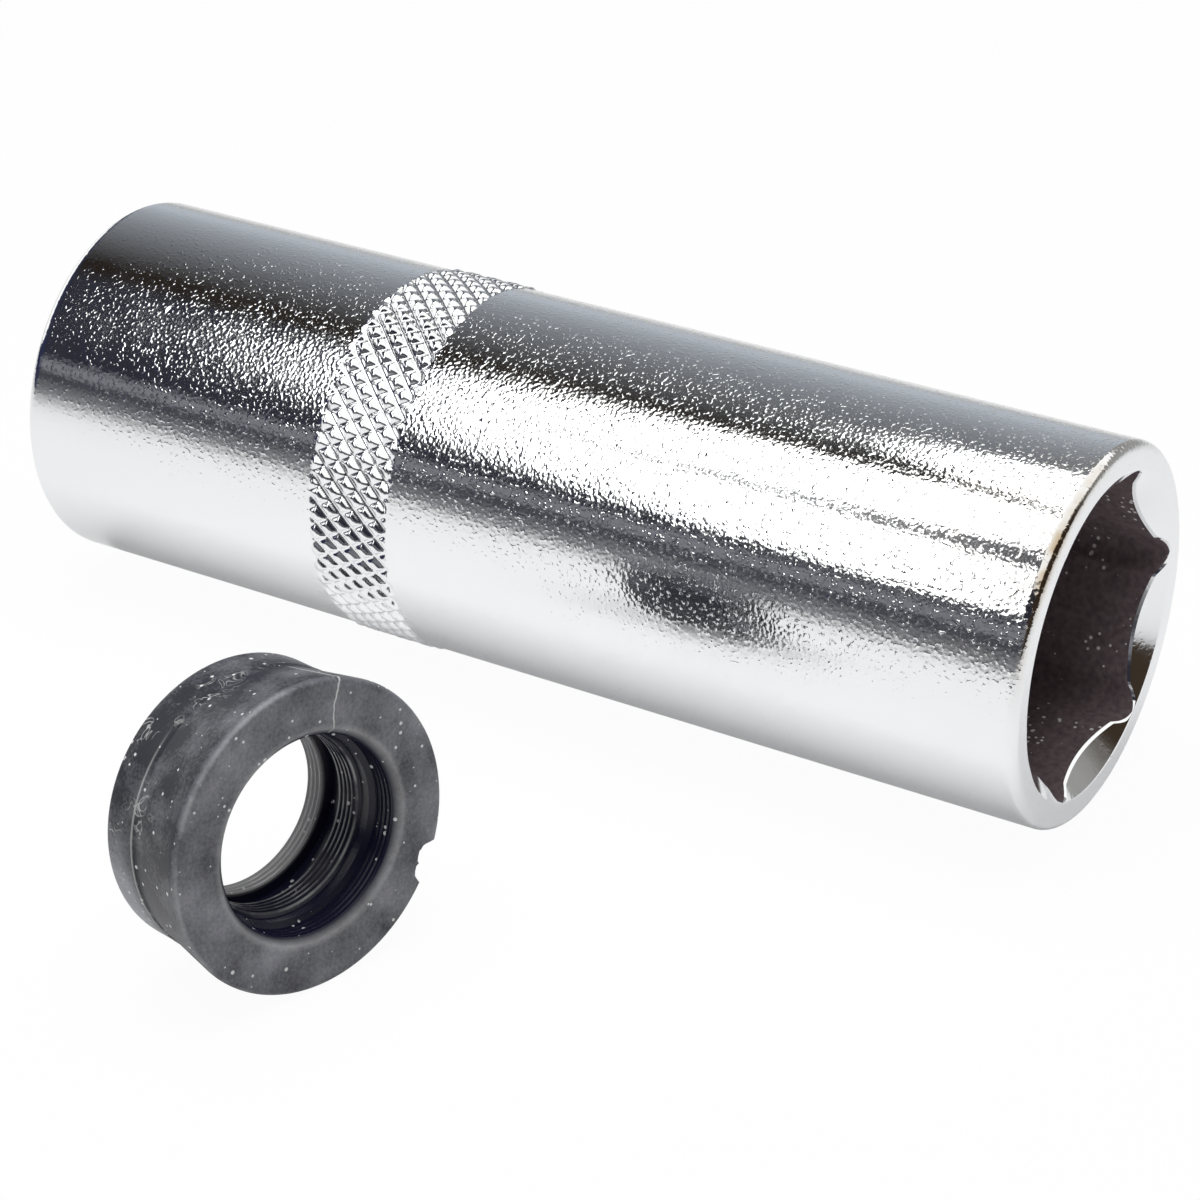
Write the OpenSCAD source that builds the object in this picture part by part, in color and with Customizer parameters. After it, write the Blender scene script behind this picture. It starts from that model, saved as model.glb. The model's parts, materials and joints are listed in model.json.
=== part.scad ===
// Deep spark plug socket, lying on its side, with its rubber plug holder taken out and laid beside it.
// The socket's axis is +X. The origin is the centre of its drive end face, and the mouth is at +X.

/* [Socket body] */
// Length from the drive end to the mouth
socket_len = 66; // [55:0.5:90]
// Outside diameter of the plain body
socket_d = 22; // [21:0.1:28]
// Round on the outer edge of both ends
end_round = 0.6; // [0.3:0.05:0.9]

/* [Hexagon mouth] */
// Size across the flats
hex_size = 16; // [14:0.1:16.5]
// Depth of the hexagon below the mouth
hex_depth = 14; // [8:0.5:20]
// Radius of the relief lobe in each corner
lobe_r = 1.3; // [1:0.05:1.6]
// Reach of a lobe past the corner of the plain hexagon
lobe_reach = 0.08; // [0.02:0.01:0.15]
// Width of the flat lip round the mouth
lip_w = 1; // [0.6:0.05:1.2]
// Slope of the lead-in cone, measured from the mouth face
lead_angle = 37; // [25:1:50]
// Turn of the hexagon about the socket's axis, as the socket lies
hex_turn = 7; // [0:1:59]

/* [Plug bore] */
// Diameter of the round bore behind the hexagon
bore_d = 16.2; // [14:0.1:17]
// Depth of the groove that keeps the holder's flange, below the wall of the bore
keeper_deep = 0.6; // [0.3:0.05:1]
// Width of that groove
keeper_w = 5; // [4:0.1:7]
// Slope of the drilled bottom, measured from a flat face
drill_angle = 31; // [20:1:40]

/* [Square drive] */
// Size of the driving square
drive_size = 12.7; // [9.5:0.1:13]
// Depth of the square
drive_depth = 16; // [12:0.5:18]
// Round in the corners of the square
drive_corner = 0.6; // [0.3:0.1:1.2]
// Width of the lead-in chamfer on the square
drive_lead = 1.5; // [0.8:0.1:2]
// Distance from the drive end to the middle of the detent groove
detent_at = 8; // [6:0.5:9]
// Width of the detent groove
detent_w = 3; // [2:0.1:4]
// Depth of the detent groove below the flats
detent_deep = 0.9; // [0.5:0.1:1.2]
// Thickness of the web between the square and the plug bore
web_t = 3; // [2:0.5:5]
// Diameter of the hole through the web
web_hole_d = 10; // [6:0.5:11]

/* [Knurl band] */
// Distance from the drive end to the band
knurl_at = 21; // [18:0.5:30]
// Width of the band
knurl_w = 5.4; // [4:0.1:8]
// Number of diamonds round the band
knurl_count = 56; // [40:1:64]
// Rows of diamonds across the band, each overlapping the next by half
knurl_rows = 7; // [5:1:9]
// Height of the crests above the body
knurl_rise = 0.15; // [0.05:0.01:0.25]
// Depth of the grooves below the body
knurl_groove = 0.2; // [0.1:0.01:0.3]
// Share of a diamond that is its flat top
knurl_land = 0.5; // [0.3:0.05:0.7]

/* [Rubber plug holder] */
// Length
holder_len = 6.9; // [6.3:0.1:10]
// Clearance between the holder and the bore or groove that it sits in
holder_clear = 0.2; // [0.1:0.05:0.3]
// Length of the tail, behind the waist
tail_len = 2.2; // [1.5:0.1:2.6]
// Depth of the waist below the tail
waist_deep = 0.15; // [0.05:0.01:0.3]
// Length of the waist
waist_len = 0.7; // [0.4:0.1:1]
// Round on the outer edges
rim_round = 0.3; // [0.1:0.05:0.45]
// Diameter that grips the plug
grip_d = 9.8; // [9:0.1:10.5]
// Depth of the relief grooves below the grip
grip_relief = 0.55; // [0.3:0.05:0.9]
// Height of the step between the front groove and the grip
grip_step = 0.3; // [0.1:0.05:0.5]
// Width of the front groove
front_groove_w = 1.3; // [0.8:0.1:1.6]
// Width of the step
step_w = 0.6; // [0.3:0.1:0.8]
// Width of the front grip land
front_land_w = 1.5; // [1:0.1:1.8]
// Width of the rear groove
rear_groove_w = 0.9; // [0.5:0.1:1.1]
// Width of the chamfer at the front of the bore
grip_lead = 0.4; // [0.2:0.05:0.5]
// Radius of the larger of two bites torn out of the flange's rim
bite_r = 0.8; // [0.4:0.05:1]
// Radius of the smaller bite
small_bite_r = 0.65; // [0.3:0.05:0.9]
// Place of the larger bite round the rim, from level towards the top
bite_turn = -29; // [-60:1:60]
// Turn from the larger bite to the smaller one
bite_step = -5.5; // [-8:0.5:8]
// Depth of the bites behind the front face
bite_deep = 1.6; // [0.8:0.1:2]

/* [Layout] */
// Place of the holder's front face along the socket
holder_at = 38.6; // [20:0.1:60]
// Clear width between the socket and the holder
holder_gap = 16; // [6:0.5:30]
// Turn of the holder away from the socket's direction
holder_yaw = 16.3; // [0:0.1:40]

/* [Hidden] */
steel_colour = [0.76, 0.77, 0.79];
rubber_colour = [0.22, 0.22, 0.24];

$fn = 96;
// straight steps that make up a small edge round
arc_steps = 6;
// how far a cutter runs past the face or wall that it opens
cut = 0.5;

socket_r = socket_d / 2;
hex_half = hex_size / 2;
hex_corner_r = hex_half / cos(30);
lobe_centre_r = hex_corner_r + lobe_reach - lobe_r;
hex_floor = socket_len - hex_depth;
// the broach runs a little way into the keeper groove
hex_start = hex_floor - cut;
lip_r = socket_r - end_round - lip_w;
lead_rate = tan(lead_angle);

bore_r = bore_d / 2;
keeper_r = bore_r + keeper_deep;
keeper_start = hex_floor - keeper_w;
web_hole_r = web_hole_d / 2;
web_end = drive_depth + web_t;
drill_end = web_end + (bore_r - web_hole_r) * tan(drill_angle);

drive_half = drive_size / 2;
drive_core = drive_size - 2 * drive_corner;

knurl_end = knurl_at + knurl_w;
knurl_row_w = knurl_w / knurl_rows;
// angle between a groove crossing and the middle of the diamond beside it
knurl_turn = 180 / knurl_count;
crest_r = socket_r + knurl_rise;
valley_r = socket_r - knurl_groove;
// the band's ring is rooted this deep below its grooves, and again below the seat that it fills
knurl_root = 0.3;
seat_r = valley_r - knurl_root;
ring_r = seat_r - knurl_root;

tail_r = bore_r - holder_clear;
flange_r = keeper_r - holder_clear;
waist_r = tail_r - waist_deep;
waist_back = tail_len - holder_len;
waist_front = waist_back + waist_len;
grip_r = grip_d / 2;
groove_r = grip_r + grip_relief;
step_r = groove_r - grip_step;
// length along the axis of each slope between two widths of the holder's bore
slope_w = 0.2;
front_groove_end = -grip_lead - front_groove_w;
step_end = front_groove_end - slope_w - step_w;
front_land_end = step_end - slope_w - front_land_w;
rear_groove_end = front_land_end - slope_w - rear_groove_w;

floor_z = -crest_r;
// the holder lies on the rims of its flange and its tail
holder_pitch = atan((flange_r - tail_r) / (holder_len - 2 * rim_round));
holder_y = -(socket_r + holder_gap + flange_r);
holder_z = floor_z + rim_round * (1 + sin(holder_pitch)) + (flange_r - rim_round) * cos(holder_pitch);

// points along an arc, as [radius, height] pairs for a revolve
function arc(centre, r, from, to) = [
    for (i = [0 : arc_steps])
        let (a = from + (to - from) * i / arc_steps)
        [centre[0] + r * cos(a), centre[1] + r * sin(a)]
];

// a point on the knurl, m rows along the band and n half diamonds round it
function knurl_point(r, m, n) = [
    r * cos(n * knurl_turn),
    r * sin(n * knurl_turn),
    knurl_at + m * knurl_row_w
];

// places in the knurl's list of points: groove crossings, then four corners of each flat top, then the root
function wrap(j) = (j + knurl_count) % knurl_count;
function valley(m, n) = m * knurl_count + wrap(floor((n - m % 2) / 2));
land_base = (knurl_rows + 1) * knurl_count;
function land(m, n, corner) =
    land_base + 4 * (m * knurl_count + wrap(floor((n - 1 + m % 2) / 2))) + corner;
root_base = land_base * 5;
function root(end, n) =
    root_base + end * 2 * knurl_count + (n + 2 * knurl_count) % (2 * knurl_count);

// the four sides of one diamond, as pairs of triangles between its outline and its flat top
function knurl_side(a, b, a_top, b_top) = [[a, b, b_top], [a, b_top, a_top]];

module along_x() {
    rotate([0, 90, 0]) children();
}

// ring of diamonds with flat tops, left standing between two sets of crossing grooves
module knurl_ring() {
    last = knurl_rows;
    points = [
        for (m = [0 : last], j = [0 : knurl_count - 1]) knurl_point(valley_r, m, 2 * j + m % 2),
        for (m = [0 : last], j = [0 : knurl_count - 1])
            let (n = 2 * j + 1 - m % 2)
            each [
                knurl_point(crest_r, m, n - knurl_land),
                knurl_point(crest_r, min(m + knurl_land, last), n),
                knurl_point(crest_r, m, n + knurl_land),
                knurl_point(crest_r, max(m - knurl_land, 0), n)
            ],
        for (m = [0, last], n = [0 : 2 * knurl_count - 1]) knurl_point(ring_r, m, n)
    ];
    diamonds = [
        for (m = [0 : last], j = [0 : knurl_count - 1])
            let (
                n = 2 * j + 1 - m % 2,
                left = land(m, n, 0),
                top = land(m, n, 1),
                right = land(m, n, 2),
                low = land(m, n, 3)
            )
            each [
                [low, left, top],
                [low, top, right],
                if (m < last) each knurl_side(valley(m, n - 1), valley(m + 1, n), left, top),
                if (m < last) each knurl_side(valley(m + 1, n), valley(m, n + 1), top, right),
                if (m > 0) each knurl_side(valley(m, n + 1), valley(m - 1, n), right, low),
                if (m > 0) each knurl_side(valley(m - 1, n), valley(m, n - 1), low, left)
            ]
    ];
    start_face = [
        for (n = [1 : 2 : 2 * knurl_count - 1])
            let (left = land(0, n, 0), right = land(0, n, 2), low = land(0, n, 3))
            each [
                [root(0, n - 1), valley(0, n - 1), left],
                [root(0, n - 1), left, root(0, n)],
                [root(0, n), left, low],
                [root(0, n), low, right],
                [root(0, n), right, root(0, n + 1)],
                [root(0, n + 1), right, valley(0, n + 1)]
            ]
    ];
    end_face = [
        for (n = [1 - last % 2 : 2 : 2 * knurl_count - 1])
            let (left = land(last, n, 0), top = land(last, n, 1), right = land(last, n, 2))
            each [
                [root(1, n - 1), left, valley(last, n - 1)],
                [root(1, n - 1), root(1, n), left],
                [root(1, n), top, left],
                [root(1, n), right, top],
                [root(1, n), root(1, n + 1), right],
                [root(1, n + 1), valley(last, n + 1), right]
            ]
    ];
    inside = [
        for (n = [0 : 2 * knurl_count - 1])
            [root(0, n), root(0, n + 1), root(1, n + 1), root(1, n)]
    ];
    polyhedron(points, concat(diamonds, start_face, end_face, inside), convexity = 6);
}

// turned blank with rounded end edges and a seat for the knurl
module blank() {
    inset = socket_r - end_round;
    rotate_extrude()
        polygon(concat(
            [[0, 0]],
            arc([inset, end_round], end_round, -90, 0),
            [[socket_r, knurl_at], [seat_r, knurl_at], [seat_r, knurl_end], [socket_r, knurl_end]],
            arc([inset, socket_len - end_round], end_round, 0, 90),
            [[0, socket_len]]
        ));
}

// hexagon with a round relief lobe in each corner
module hex_outline() {
    rotate(hex_turn + 30) {
        circle(r = hex_corner_r, $fn = 6);
        for (i = [0 : 5]) rotate(i * 60) translate([lobe_centre_r, 0]) circle(r = lobe_r);
    }
}

// hexagon and the cone that leads into it
module hex_mouth() {
    lead_in_r = hex_half - cut;
    lead_len = (lip_r - lead_in_r) * lead_rate;
    translate([0, 0, hex_start]) linear_extrude(socket_len - hex_start + cut) hex_outline();
    translate([0, 0, socket_len - lead_len])
        cylinder(r1 = lead_in_r, r2 = lip_r + cut / lead_rate, h = lead_len + cut);
}

// web hole, drilled bore and keeper groove in one turned profile
module plug_bore() {
    rotate_extrude()
        polygon([
            [0, drive_depth - cut],
            [web_hole_r, drive_depth - cut],
            [web_hole_r, web_end],
            [bore_r, drill_end],
            [bore_r, keeper_start],
            [keeper_r, keeper_start],
            [keeper_r, hex_floor],
            [0, hex_floor]
        ]);
}

module drive_outline() {
    square([drive_size, drive_core], center = true);
    square([drive_core, drive_size], center = true);
    for (x = [-1, 1], y = [-1, 1]) translate([x, y] * drive_core / 2) circle(r = drive_corner);
}

// driving square with its chamfer and the groove that catches a ratchet's ball
module square_drive() {
    lead_r = drive_half + drive_lead;
    translate([0, 0, -cut]) linear_extrude(drive_depth + cut) drive_outline();
    translate([0, 0, -cut]) cylinder(r1 = lead_r + cut, r2 = drive_half - cut, h = drive_lead + 2 * cut);
    translate([0, 0, detent_at - detent_w / 2]) cylinder(r = drive_half + detent_deep, h = detent_w);
}

module socket_body() {
    color(steel_colour)
        along_x() {
            difference() {
                blank();
                hex_mouth();
                plug_bore();
                square_drive();
            }
            knurl_ring();
        }
}

// section of the holder, with its front face at height 0 and its tail below
module holder_section() {
    polygon(concat(
        [
            [groove_r, -grip_lead],
            [groove_r, front_groove_end],
            [step_r, front_groove_end - slope_w],
            [step_r, step_end],
            [grip_r, step_end - slope_w],
            [grip_r, front_land_end],
            [groove_r, front_land_end - slope_w],
            [groove_r, rear_groove_end],
            [grip_r, rear_groove_end - slope_w],
            [grip_r, slope_w - holder_len],
            [grip_r + slope_w, -holder_len]
        ],
        arc([tail_r - rim_round, rim_round - holder_len], rim_round, -90, 0),
        [
            [tail_r, waist_back],
            [waist_r, (waist_back + waist_front) / 2],
            [tail_r, waist_front]
        ],
        arc([flange_r - rim_round, -rim_round], rim_round, 0, 90),
        [[groove_r + grip_lead, 0]]
    ));
}

// two bites that meet, seen from the front
module bite_outline() {
    rotate(bite_turn) translate([flange_r, 0]) circle(r = bite_r);
    rotate(bite_turn + bite_step) translate([flange_r, 0]) circle(r = small_bite_r);
}

module rubber_insert() {
    color(rubber_colour)
        translate([holder_at, holder_y, holder_z])
            rotate([0, -holder_pitch, -holder_yaw])
                along_x()
                    difference() {
                        rotate_extrude() holder_section();
                        translate([0, 0, -bite_deep])
                            linear_extrude(bite_deep + cut) rotate(90) bite_outline();
                    }
}

socket_body();
rubber_insert();
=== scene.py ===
import json
import bpy
import numpy as np
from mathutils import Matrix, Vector


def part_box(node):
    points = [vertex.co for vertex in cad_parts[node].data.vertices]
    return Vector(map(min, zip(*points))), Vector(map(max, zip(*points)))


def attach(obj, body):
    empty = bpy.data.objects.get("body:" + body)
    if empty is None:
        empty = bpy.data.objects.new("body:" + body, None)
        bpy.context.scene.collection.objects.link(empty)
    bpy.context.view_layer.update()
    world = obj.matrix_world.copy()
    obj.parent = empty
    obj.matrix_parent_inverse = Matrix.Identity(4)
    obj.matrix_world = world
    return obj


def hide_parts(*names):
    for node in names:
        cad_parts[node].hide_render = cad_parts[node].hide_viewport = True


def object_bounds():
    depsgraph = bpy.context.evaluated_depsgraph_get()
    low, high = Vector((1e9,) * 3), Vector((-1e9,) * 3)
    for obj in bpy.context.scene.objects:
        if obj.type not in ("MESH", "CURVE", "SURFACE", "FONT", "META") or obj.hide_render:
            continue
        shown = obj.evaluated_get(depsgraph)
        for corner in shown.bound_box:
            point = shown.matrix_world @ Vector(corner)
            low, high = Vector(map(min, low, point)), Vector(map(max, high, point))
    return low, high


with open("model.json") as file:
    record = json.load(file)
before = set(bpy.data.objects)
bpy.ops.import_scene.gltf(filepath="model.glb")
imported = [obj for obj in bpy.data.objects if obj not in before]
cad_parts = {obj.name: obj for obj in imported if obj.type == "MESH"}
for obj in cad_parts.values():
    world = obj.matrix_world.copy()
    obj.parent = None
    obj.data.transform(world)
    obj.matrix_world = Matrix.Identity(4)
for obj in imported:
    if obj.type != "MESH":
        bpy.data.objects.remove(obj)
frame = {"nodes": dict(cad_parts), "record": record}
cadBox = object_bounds()
mm = 0.001
tau = 2 * np.pi
print("frame loaded:", sorted(frame["nodes"]))


# small tools

def linear(hexColour):
    # sRGB hex to the linear colour that shaders take
    s = np.array([int(hexColour[i:i + 2], 16) for i in (1, 3, 5)]) / 255
    return (*np.where(s <= 0.04045, s / 12.92, ((s + 0.055) / 1.055) ** 2.4), 1.0)


def addNode(tree, kind, inputs=None, **settings):
    # one node with its settings; an input is a value, a socket, or a node, meaning its first output in use
    made = tree.nodes.new(kind)
    for key, value in settings.items():
        setattr(made, key, value)
    for key, value in (inputs or {}).items():
        if isinstance(value, bpy.types.Node):
            value = next(output for output in value.outputs if output.enabled)
        if isinstance(value, bpy.types.NodeSocket):
            tree.links.new(value, made.inputs[key])
        else:
            made.inputs[key].default_value = value
    return made


def newMaterial(name):
    made = bpy.data.materials.new(name)
    made.use_nodes = True
    made.node_tree.nodes.clear()
    return made, made.node_tree


def smoothMax(a, b, width):
    # the larger of a and b, blended over a small width where they meet
    near = np.maximum(width - np.abs(a - b), 0) / width
    return np.maximum(a, b) + near * near * width / 4


def smoothStep(a, b, v):
    t = np.clip((v - a) / (b - a), 0, 1)
    return t * t * (3 - 2 * t)


def closedGrid(name, points, finishes, sharpRows, attributes):
    # mesh of a rows x columns grid of points in mm, closed on itself both ways
    rows, cols = points.shape[:2]
    i, j = np.meshgrid(np.arange(rows), np.arange(cols), indexing="ij")
    nextI, nextJ = (i + 1) % rows, (j + 1) % cols
    quads = np.stack([i * cols + j, nextI * cols + j, nextI * cols + nextJ, i * cols + nextJ], axis=-1)
    a, b, c, d = (points.reshape(-1, 3)[quads[..., k].ravel()] for k in range(4))
    # a negative volume means that the faces point inwards
    if np.einsum("ij,ij", a, np.cross(b, c) + np.cross(c, d)) < 0:
        quads = quads[..., ::-1]
    mesh = bpy.data.meshes.new(name)
    mesh.vertices.add(rows * cols)
    mesh.vertices.foreach_set("co", (points * mm).astype(np.float32).ravel())
    mesh.loops.add(quads.size)
    mesh.loops.foreach_set("vertex_index", quads.astype(np.int32).ravel())
    mesh.polygons.add(rows * cols)
    mesh.polygons.foreach_set("loop_start", np.arange(0, quads.size, 4, dtype=np.int32))
    mesh.polygons.foreach_set("material_index", np.repeat(finishes, cols).astype(np.int32))
    mesh.update(calc_edges=True)
    mesh.shade_smooth()
    ends = np.empty(len(mesh.edges) * 2, np.int32)
    mesh.edges.foreach_get("vertices", ends)
    endRows = ends.reshape(-1, 2) // cols
    sharp = (endRows[:, 0] == endRows[:, 1]) & np.isin(endRows[:, 0], sharpRows)
    mesh.edges.foreach_set("use_edge_sharp", sharp)
    for key, values in attributes.items():
        layer = mesh.attributes.new(key, "FLOAT", "POINT")
        layer.data.foreach_set("value", np.broadcast_to(values, (rows, cols)).astype(np.float32).ravel())
    made = bpy.data.objects.new(name, mesh)
    bpy.context.scene.collection.objects.link(made)
    return made


class Wall:
    # rings laid one after another round a closed section: a ring has a place along the axis and a radius
    # for every column, and the faces after it have a finish
    def __init__(self, columns):
        self.columns = columns
        self.along, self.radius, self.finish, self.sharp = [], [], [], []

    def ring(self, along, radius, finish, sharp=False):
        if sharp:
            self.sharp.append(len(self.along))
        self.along.append(np.broadcast_to(along, self.columns))
        self.radius.append(np.broadcast_to(radius, self.columns))
        self.finish.append(finish)

    def run(self, start, stop, steps, finish, sharp=True):
        # straight stretch from ring start = (along, radius) up to, and without, ring stop
        for t in np.arange(steps) / steps:
            self.ring(start[0] + (stop[0] - start[0]) * t, start[1] + (stop[1] - start[1]) * t,
                      finish, sharp and t == 0)

    def bend(self, centre, size, fromDeg, toDeg, steps, finish):
        # round edge about centre = (along, radius), angles from the axis direction outwards
        for a in np.radians(np.linspace(fromDeg, toDeg, steps + 1)):
            self.ring(centre[0] + size * np.cos(a), centre[1] + size * np.sin(a), finish)

    def arrays(self):
        return np.array(self.along), np.array(self.radius)


# socket body, sizes in mm

lowCorner, highCorner = (np.array(c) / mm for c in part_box("socket_body"))
socket = dict(
    # guards are rings laid this near to an edge, which keep its shading off the plain body
    columns=720, guard=0.3, fineGuard=0.1, wideGuard=0.5,
    length=highCorner[0] - lowCorner[0],
    radius=11.0, endRound=0.6,
    lip=1.0, leadSlope=37.0, lipBreak=0.05, hexBreak=0.10, breakShare=0.4,
    hexSize=16.0, hexDepth=14.0, hexTurn=7.0, lobe=1.3, lobeReach=0.08, lobeBlend=0.25,
    bore=8.1, keeper=8.7, keeperWidth=5.0, webHole=5.0, drillSlope=31.0, web=3.0,
    drive=12.7, driveDepth=16.0, driveCorner=0.6, driveLead=1.5, leadLeast=0.01,
    detentAt=8.0, detentWidth=3.0, detentDeep=0.9, detentSlope=0.02,
    knurlAt=21.0, knurlWidth=5.4, knurlRows=64, knurlRunOut=0.3, knurlFlank=1.0, knurlSoft=0.08,
    knurlCrest=(highCorner[2] - lowCorner[2]) / 2,
    steep=dict(lines=52, perMm=-0.703, deep=0.35),
    shallow=dict(lines=60, perMm=0.508, deep=0.27),
    wornAt=0.25, wornWidth=0.3, wornTurn=128, wornSpread=28, handled=0.75, handledTo=15.0,
)


def hexRadius(theta, s):
    # plain hexagon: half its size over the cosine of the angle from the middle of the flat;
    # each corner has a round lobe whose tip stands a little past it
    fromCorner = (theta - np.radians(s["hexTurn"]) + tau / 12) % (tau / 6) - tau / 12
    flat = s["hexSize"] / 2 / np.cos(tau / 12 - np.abs(fromCorner))
    centre = s["hexSize"] / 2 / np.cos(tau / 12) + s["lobeReach"] - s["lobe"]
    reach = s["lobe"] ** 2 - (centre * np.sin(fromCorner)) ** 2
    lobe = np.where(reach > 0, centre * np.cos(fromCorner) + np.sqrt(np.maximum(reach, 0)), 0)
    return smoothMax(flat, lobe, s["lobeBlend"])


def squareRadius(theta, s):
    # square with round corners: the flat's distance, or the corner circle's where the ray meets it
    c, n = np.abs(np.cos(theta)), np.abs(np.sin(theta))
    half, core = s["drive"] / 2, s["drive"] / 2 - s["driveCorner"]
    flat = half / np.maximum(c, n)
    along = core * (c + n)
    corner = along + np.sqrt(np.maximum(along ** 2 - 2 * core ** 2 + s["driveCorner"] ** 2, 0))
    return np.where(flat * np.minimum(c, n) > core, corner, flat)


def knurlRadius(along, theta, s):
    # diamonds left between two sets of helical V grooves: the deeper cut counts, and a hyperbola rounds the
    # edge between a flank and the diamond's top
    cut = 0.0
    for groove in (s["steep"], s["shallow"]):
        phase = groove["lines"] * theta / tau + groove["perMm"] * along
        away = np.abs(phase - np.round(phase))  # in grooves, which are about 1 mm apart
        reach = groove["deep"] - s["knurlFlank"] * away
        cut = np.maximum(cut, (reach + np.hypot(reach, s["knurlSoft"])) / 2)
    rise = s["knurlCrest"] - cut - s["radius"]
    # the pattern sinks into the plain body over a short run-out at both edges of the band
    inside = np.minimum(along - s["knurlAt"], s["knurlAt"] + s["knurlWidth"] - along)
    return s["radius"] + rise * np.sqrt(smoothStep(0, s["knurlRunOut"], inside))


def buildSocket(s):
    theta = np.arange(s["columns"]) * tau / s["columns"]
    plated, bare = 0, 1
    length, radius, endRound = s["length"], s["radius"], s["endRound"]
    guard, fineGuard = s["guard"], s["fineGuard"]
    inset = radius - endRound
    hexR, squareR = hexRadius(theta, s), squareRadius(theta, s)
    leadR = s["drive"] / 2 + s["driveLead"]
    driveMouth = np.maximum(leadR, squareR)
    knurlEnd = s["knurlAt"] + s["knurlWidth"]
    wall = Wall(s["columns"])
    # drive end face, rounded edge, and the plain body with its knurled band
    wall.run((0, driveMouth), (0, inset), 3, plated)
    wall.bend((endRound, inset), endRound, 180, 90, 7, plated)
    beforeKnurl, afterKnurl = s["knurlAt"] - guard, knurlEnd + s["wideGuard"]
    wall.run((endRound + guard, radius), (beforeKnurl, radius), 3, plated, sharp=False)
    wall.run((beforeKnurl, radius), (s["knurlAt"], radius), 2, plated, sharp=False)
    for along in np.linspace(s["knurlAt"], knurlEnd, s["knurlRows"] + 1):
        wall.ring(along, knurlRadius(along, theta, s), plated)
    wall.run((knurlEnd + fineGuard, radius), (afterKnurl, radius), 2, plated, sharp=False)
    wall.run((afterKnurl, radius), (length - endRound, radius), 3, plated, sharp=False)
    # rounded mouth edge, flat lip and the cone that leads into the hexagon
    wall.bend((length - endRound, inset), endRound, 90, 0, 8, plated)
    lipR = inset - s["lip"]
    mostBreak = (lipR - hexR) * s["breakShare"]
    lipBreak, hexBreak = np.minimum(s["lipBreak"], mostBreak), np.minimum(s["hexBreak"], mostBreak)
    slope = np.tan(np.radians(s["leadSlope"]))
    coneEnd = length - (lipR - hexR) * slope
    coneTop = (length - lipBreak * slope, lipR - lipBreak)
    coneFoot = (coneEnd + hexBreak * slope, hexR + hexBreak)
    wall.run((length, inset - fineGuard), (length, lipR + lipBreak), 2, plated, sharp=False)
    wall.ring(length, lipR + lipBreak, plated, sharp=True)
    wall.run(coneTop, coneFoot, 8, plated)
    wall.ring(*coneFoot, plated, sharp=True)
    wall.ring(coneEnd - hexBreak, hexR, bare, sharp=True)
    # hexagon, keeper groove, bore and web
    hexFloor = length - s["hexDepth"]
    keeperStart = hexFloor - s["keeperWidth"]
    webEnd = s["driveDepth"] + s["web"]
    drillEnd = webEnd + (s["bore"] - s["webHole"]) * np.tan(np.radians(s["drillSlope"]))
    wall.run((coneEnd - guard, hexR), (hexFloor, hexR), 4, bare, sharp=False)
    wall.run((hexFloor, hexR), (hexFloor, s["keeper"]), 1, bare)
    wall.run((hexFloor, s["keeper"]), (keeperStart, s["keeper"]), 1, bare)
    wall.run((keeperStart, s["keeper"]), (keeperStart, s["bore"]), 1, bare)
    wall.run((keeperStart, s["bore"]), (drillEnd, s["bore"]), 3, bare)
    wall.run((drillEnd, s["bore"]), (webEnd, s["webHole"]), 1, bare)
    wall.run((webEnd, s["webHole"]), (s["driveDepth"], s["webHole"]), 1, bare)
    # driving square with its detent groove and lead
    detentR = np.maximum(squareR, s["drive"] / 2 + s["detentDeep"])
    detentFar = s["detentAt"] + s["detentWidth"] / 2
    detentNear = s["detentAt"] - s["detentWidth"] / 2
    detentIn, detentOut = detentFar - s["detentSlope"], detentNear + s["detentSlope"]
    leadEnd = np.maximum(leadR - squareR, 0) + s["leadLeast"]
    wall.run((s["driveDepth"], s["webHole"]), (s["driveDepth"], squareR), 1, bare)
    wall.run((s["driveDepth"], squareR), (detentFar, squareR), 2, bare)
    wall.run((detentFar, squareR), (detentIn, detentR), 1, bare)
    wall.run((detentIn, detentR), (detentOut, detentR), 1, bare)
    wall.run((detentOut, detentR), (detentNear, squareR), 1, bare)
    wall.run((detentNear, squareR), (leadEnd, squareR), 2, bare)
    wall.run((leadEnd, squareR), (0, driveMouth), 2, plated)
    along, r = wall.arrays()
    points = np.stack([along, r * np.cos(theta), r * np.sin(theta)], axis=-1)
    # the plate is rubbed thin on the mouth's round edge
    worn = np.exp(-((along - length + s["wornAt"]) / s["wornWidth"]) ** 2)
    worn = worn * smoothStep(inset - guard, inset + guard, r)
    worn = worn * np.exp(-((np.degrees(theta) - s["wornTurn"]) / s["wornSpread"]) ** 2)
    # the knurl and the mouth's cone are cut after blasting, so they have no grain, and use has rubbed some
    # of it off the drive end
    fromBand = np.abs(along - (s["knurlAt"] + knurlEnd) / 2) - s["knurlWidth"] / 2
    knurled = smoothStep(fineGuard, -guard, fromBand)
    cone = (along > hexFloor) * smoothStep(lipR + fineGuard, lipR - fineGuard, r)
    handled = s["handled"] * smoothStep(s["handledTo"], 0, along)
    shown = dict(worn=worn, smooth=np.maximum(np.maximum(knurled, cone), handled))
    made = closedGrid("socketShell", points, wall.finish, wall.sharp, shown)
    print("socket shell:", len(made.data.polygons) * 2, "triangles")
    return made


# rubber plug holder, sizes in mm, its section measured back from the front face

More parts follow.
